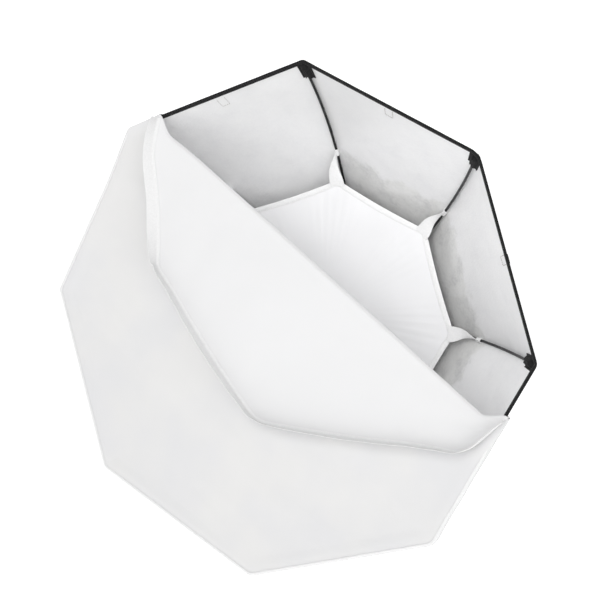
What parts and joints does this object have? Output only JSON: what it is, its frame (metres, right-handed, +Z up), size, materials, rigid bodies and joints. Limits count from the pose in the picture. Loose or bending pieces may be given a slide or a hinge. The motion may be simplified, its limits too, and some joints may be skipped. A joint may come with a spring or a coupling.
{
  "type": "studio softbox",
  "caption": "Octagonal studio softbox on spring rods, silver inside, with an inner diffuser and a front diffuser folded half open.",
  "frame": {"origin": "on the softbox's axis, in the plane of the bayonet insert's seat face, which bears on the light", "axes": "+Y points back to the light, so the opening faces -Y; +Z is up; +X is to the right seen from the front. Corners of the octagon lie on the X and Z axes"},
  "size_m": [0.9528, 0.496, 0.9528],
  "materials": {
    "die_cast_insert": "satin machined casting",
    "steel_plate": "zinc-plated",
    "steel_screw": "turned steel",
    "ring_black": "cast, with a fine black powder coat",
    "brass_pad": "turned",
    "knob_plastic": "moulded",
    "spring_steel": "black phosphate on spring steel",
    "cap_nylon": "moulded nylon",
    "black_webbing": "woven polyester webbing",
    "hook_loop_tape": "looped pile",
    "black_nylon": "coated woven nylon",
    "elastic_black": "covered elastic",
    "silver_fabric": "dimpled silver coating",
    "white_diffusion": "fine white nylon",
    "white_tape": "white webbing"
  },
  "bodies": {
    "insert": {"bayonet_insert": "die_cast_insert", "retaining_plate": "steel_plate", "retaining_screws": "steel_screw"},
    "softbox": {"speed_ring": "ring_black", "rod_1": "spring_steel", "rod_2": "spring_steel", "rod_3": "spring_steel", "rod_4": "spring_steel", "rod_5": "spring_steel", "rod_6": "spring_steel", "rod_7": "spring_steel", "rod_8": "spring_steel", "rod_caps": "cap_nylon", "corner_pockets": "black_webbing", "shell_panel_1": "black_nylon", "shell_panel_2": "black_nylon", "shell_panel_3": "black_nylon", "shell_panel_4": "black_nylon", "shell_panel_5": "black_nylon", "shell_panel_6": "black_nylon", "shell_panel_7": "black_nylon", "shell_panel_8": "black_nylon", "silver_linings": "silver_fabric", "seam_bindings": "black_webbing", "rim_binding": "black_webbing", "rim_loop_tapes": "hook_loop_tape", "side_tabs": "black_webbing", "rear_collar": "black_nylon", "collar_elastic": "elastic_black", "inner_diffuser": "white_diffusion", "inner_diffuser_hem": "white_tape", "inner_strap_1": "white_tape", "inner_strap_2": "white_tape", "inner_strap_3": "white_tape", "inner_strap_4": "white_tape", "inner_strap_5": "white_tape", "inner_strap_6": "white_tape", "inner_strap_7": "white_tape", "inner_strap_8": "white_tape", "front_diffuser": "white_diffusion", "front_diffuser_lip": "white_tape"},
    "lock_pad": {"lock_shoe": "brass_pad"},
    "lock_screw": {"lock_stud": "steel_screw", "lock_knob": "knob_plastic"},
    "flap": {"diffuser_flap": "white_diffusion", "flap_lip": "white_tape"}
  },
  "joints": [
    {"name": "ring_rotation", "type": "hinge", "parent": "insert", "child": "softbox", "pos_m": [0, 0, 0], "axis": [0, 1, 0], "continuous": true},
    {"name": "lock_screw_turn", "type": "hinge", "parent": "lock_pad", "child": "lock_screw", "pos_m": [0.03444, -0.0145, -0.08315], "axis": [0.3827, 0, -0.9239], "range_deg": [0, 540]},
    {"name": "lock_pad_slide", "type": "slide", "parent": "softbox", "child": "lock_pad", "axis": [0.3827, 0, -0.9239], "range_m": [0, 0.0019]},
    {"name": "flap_fold", "type": "hinge", "parent": "softbox", "child": "flap", "pos_m": [-0.27581, -0.4442, 0.36435], "axis": [0.8401, 0, -0.5424], "range_deg": [-178, 0]}
  ],
  "couplings": [
    {"joint": "lock_pad_slide", "follows": "lock_screw_turn", "m_per_rad": 0.00019894}
  ]
}
